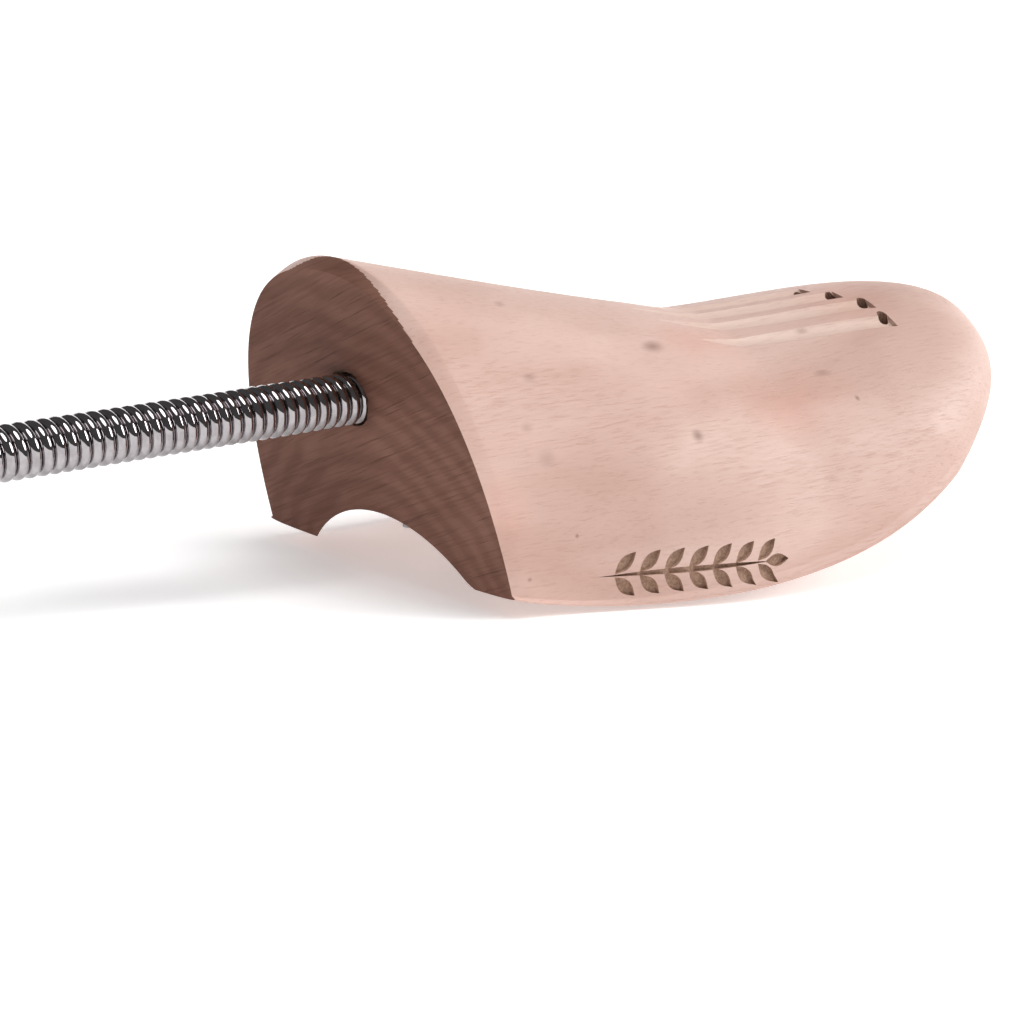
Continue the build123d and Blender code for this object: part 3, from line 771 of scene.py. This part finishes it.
def chrome_material():
    """Bright plate with faint smudges."""
    m = Nodes("chrome_plate")
    place = m.last_mm()
    smudge = m.noise(place, 0.5, 3.0, 0.6)
    colour = m.mix(m.band(smudge, 0.35, 0.7), (0.44, 0.415, 0.425), (0.35, 0.325, 0.335))
    m.colour(colour, m.band(smudge, 0.3, 0.8, 0.14))
    m.shader.inputs["Metallic"].default_value = 1.0
    m.bump(m.noise(place, 0.9, 2.0), 0.00002, 0.4)
    return m.material


def steel_material():
    """Drawn steel, a little dull, with marks round the pin."""
    m = Nodes("drawn_steel")
    place = m.last_mm()
    marks = m.noise(m.mapped(place, scale=(1.0, 1.0, 5.0)), 1.6, 3.0)
    colour = m.mix(m.band(marks, 0.3, 0.7), (0.46, 0.45, 0.46), (0.33, 0.32, 0.32))
    m.colour(colour, m.math("ADD", m.band(marks, 0.3, 0.7, 0.2), 0.28))
    m.shader.inputs["Metallic"].default_value = 1.0
    m.bump(marks, 0.00003, 0.5)
    return m.material


# ---------------------------------------------------------------- studio
FIELD_OF_VIEW = 24.04
HEADING = 40.37  # degrees from +y towards +x
ELEVATION = 11.5
ROLL = 3.3
AIM = Vector((0.03556, -0.02079, 0.01564))
DISTANCE = 0.4297


def make_camera():
    camera = bpy.data.objects.new("camera", bpy.data.cameras.new("camera"))
    bpy.context.scene.collection.objects.link(camera)
    camera.data.angle = radians(FIELD_OF_VIEW)
    camera.data.clip_start = 0.01
    heading, elevation, roll = radians(HEADING), radians(ELEVATION), radians(ROLL)
    look = Vector((sin(heading) * cos(elevation), cos(heading) * cos(elevation), -sin(elevation)))
    level = look.cross(Vector((0, 0, 1))).normalized()
    right = level * cos(roll) + level.cross(look) * sin(roll)
    turn = Matrix((right, right.cross(look), -look)).transposed().to_4x4()
    camera.matrix_world = Matrix.Translation(AIM - look * DISTANCE) @ turn
    bpy.context.scene.camera = camera


def make_stage():
    """A pale floor, and a bright wall far behind that closes the view over it."""
    size, wall_height, wall_away = 14.0, 5.0, 8.0
    plan = ((-size, -size), (size, -size), (size, size), (-size, size))
    floor = add_mesh("floor", [(x, y, 0) for x, y in plan], [(0, 1, 2, 3)], Matrix.Identity(4))
    away = Vector((sin(radians(HEADING)), cos(radians(HEADING)), 0))
    side = Vector((away.y, -away.x, 0)) * size
    foot = away * wall_away
    up = Vector((0, 0, wall_height))
    corners = [foot - side, foot + side, foot + side + up, foot - side + up]
    wall = add_mesh("backdrop", corners, [(0, 1, 2, 3)], Matrix.Identity(4))
    for piece, shine in ((floor, 0.35), (wall, 0.9)):
        m = Nodes(piece.name + "_paper")
        m.shader.inputs["Base Color"].default_value = (0.92, 0.92, 0.92, 1)
        m.shader.inputs["Roughness"].default_value = 1.0
        m.shader.inputs["Emission Color"].default_value = (1, 1, 1, 1)
        m.shader.inputs["Emission Strength"].default_value = shine
        dress(piece, m.material)


def make_sun(name, strength, direction, spread):
    light = bpy.data.objects.new(name, bpy.data.lights.new(name, "SUN"))
    light.data.energy = strength
    light.data.angle = radians(spread)
    light.rotation_euler = Vector(direction).to_track_quat("Z", "Y").to_euler()
    bpy.context.scene.collection.objects.link(light)


def make_lights():
    world = bpy.data.worlds.new("studio")
    world.use_nodes = True
    world.node_tree.nodes["Background"].inputs["Color"].default_value = (1, 1, 1, 1)
    world.node_tree.nodes["Background"].inputs["Strength"].default_value = 0.10
    bpy.context.scene.world = world
    make_sun("key", 2.1, (0.80, -0.50, 0.45), 30)
    make_sun("overhead", 1.9, (-0.05, -0.30, 1.00), 40)


make_camera()
make_stage()
make_lights()
bpy.context.scene.view_settings.view_transform = "Standard"

SAW_SLANT = 22.0
light_wood, dark_wood = (0.650, 0.447, 0.386), (0.555, 0.362, 0.302)
# End grain colours: partly the end grain's own darker tone, partly painted shade for the back face, which is in
# shadow.
light_end_and_shade, dark_end_and_shade = (0.245, 0.118, 0.084), (0.205, 0.095, 0.067)
# Colours of the holes and the torn rim: partly scorched wood, partly painted shade for their depth.
light_cut_and_shade, dark_cut_and_shade = (0.330, 0.205, 0.150), (0.190, 0.105, 0.070)
side_wood = wood_material("sanded_wood", light_wood, dark_wood)
end_wood_and_shade = shaded_end_grain_material("sawn_end_grain_and_shade", light_end_and_shade, dark_end_and_shade)
cut_wood_and_shade = cut_and_shade_material("torn_wood_and_shade", light_cut_and_shade, dark_cut_and_shade)
# Engraving colours: partly scorched cut wood, partly painted shade of the recess.
engraved_wood_and_shade = cut_and_shade_material("engraved_wood_and_shade", (0.500, 0.330, 0.245), (0.340, 0.210, 0.150))
# Painted highlight: the milled grooves' faces made paler than the sides, standing for the bright lip that light makes
# in them.
groove_wood_and_highlight = wood_material("milled_wood_and_highlight", (0.700, 0.530, 0.455), (0.640, 0.460, 0.385))
knob_wood = turned_material("turned_wood", light_wood, dark_wood)

make_forepart(side_wood, end_wood_and_shade, cut_wood_and_shade, groove_wood_and_highlight, engraved_wood_and_shade)
make_knob(knob_wood, end_wood_and_shade, cut_wood_and_shade)
chrome = chrome_material()
for piece in make_spring():
    dress(piece, chrome)
steel = steel_material()
for node in ("lock_pin_front", "lock_pin_rear"):
    frame["nodes"][node].material_slots[0].material = steel
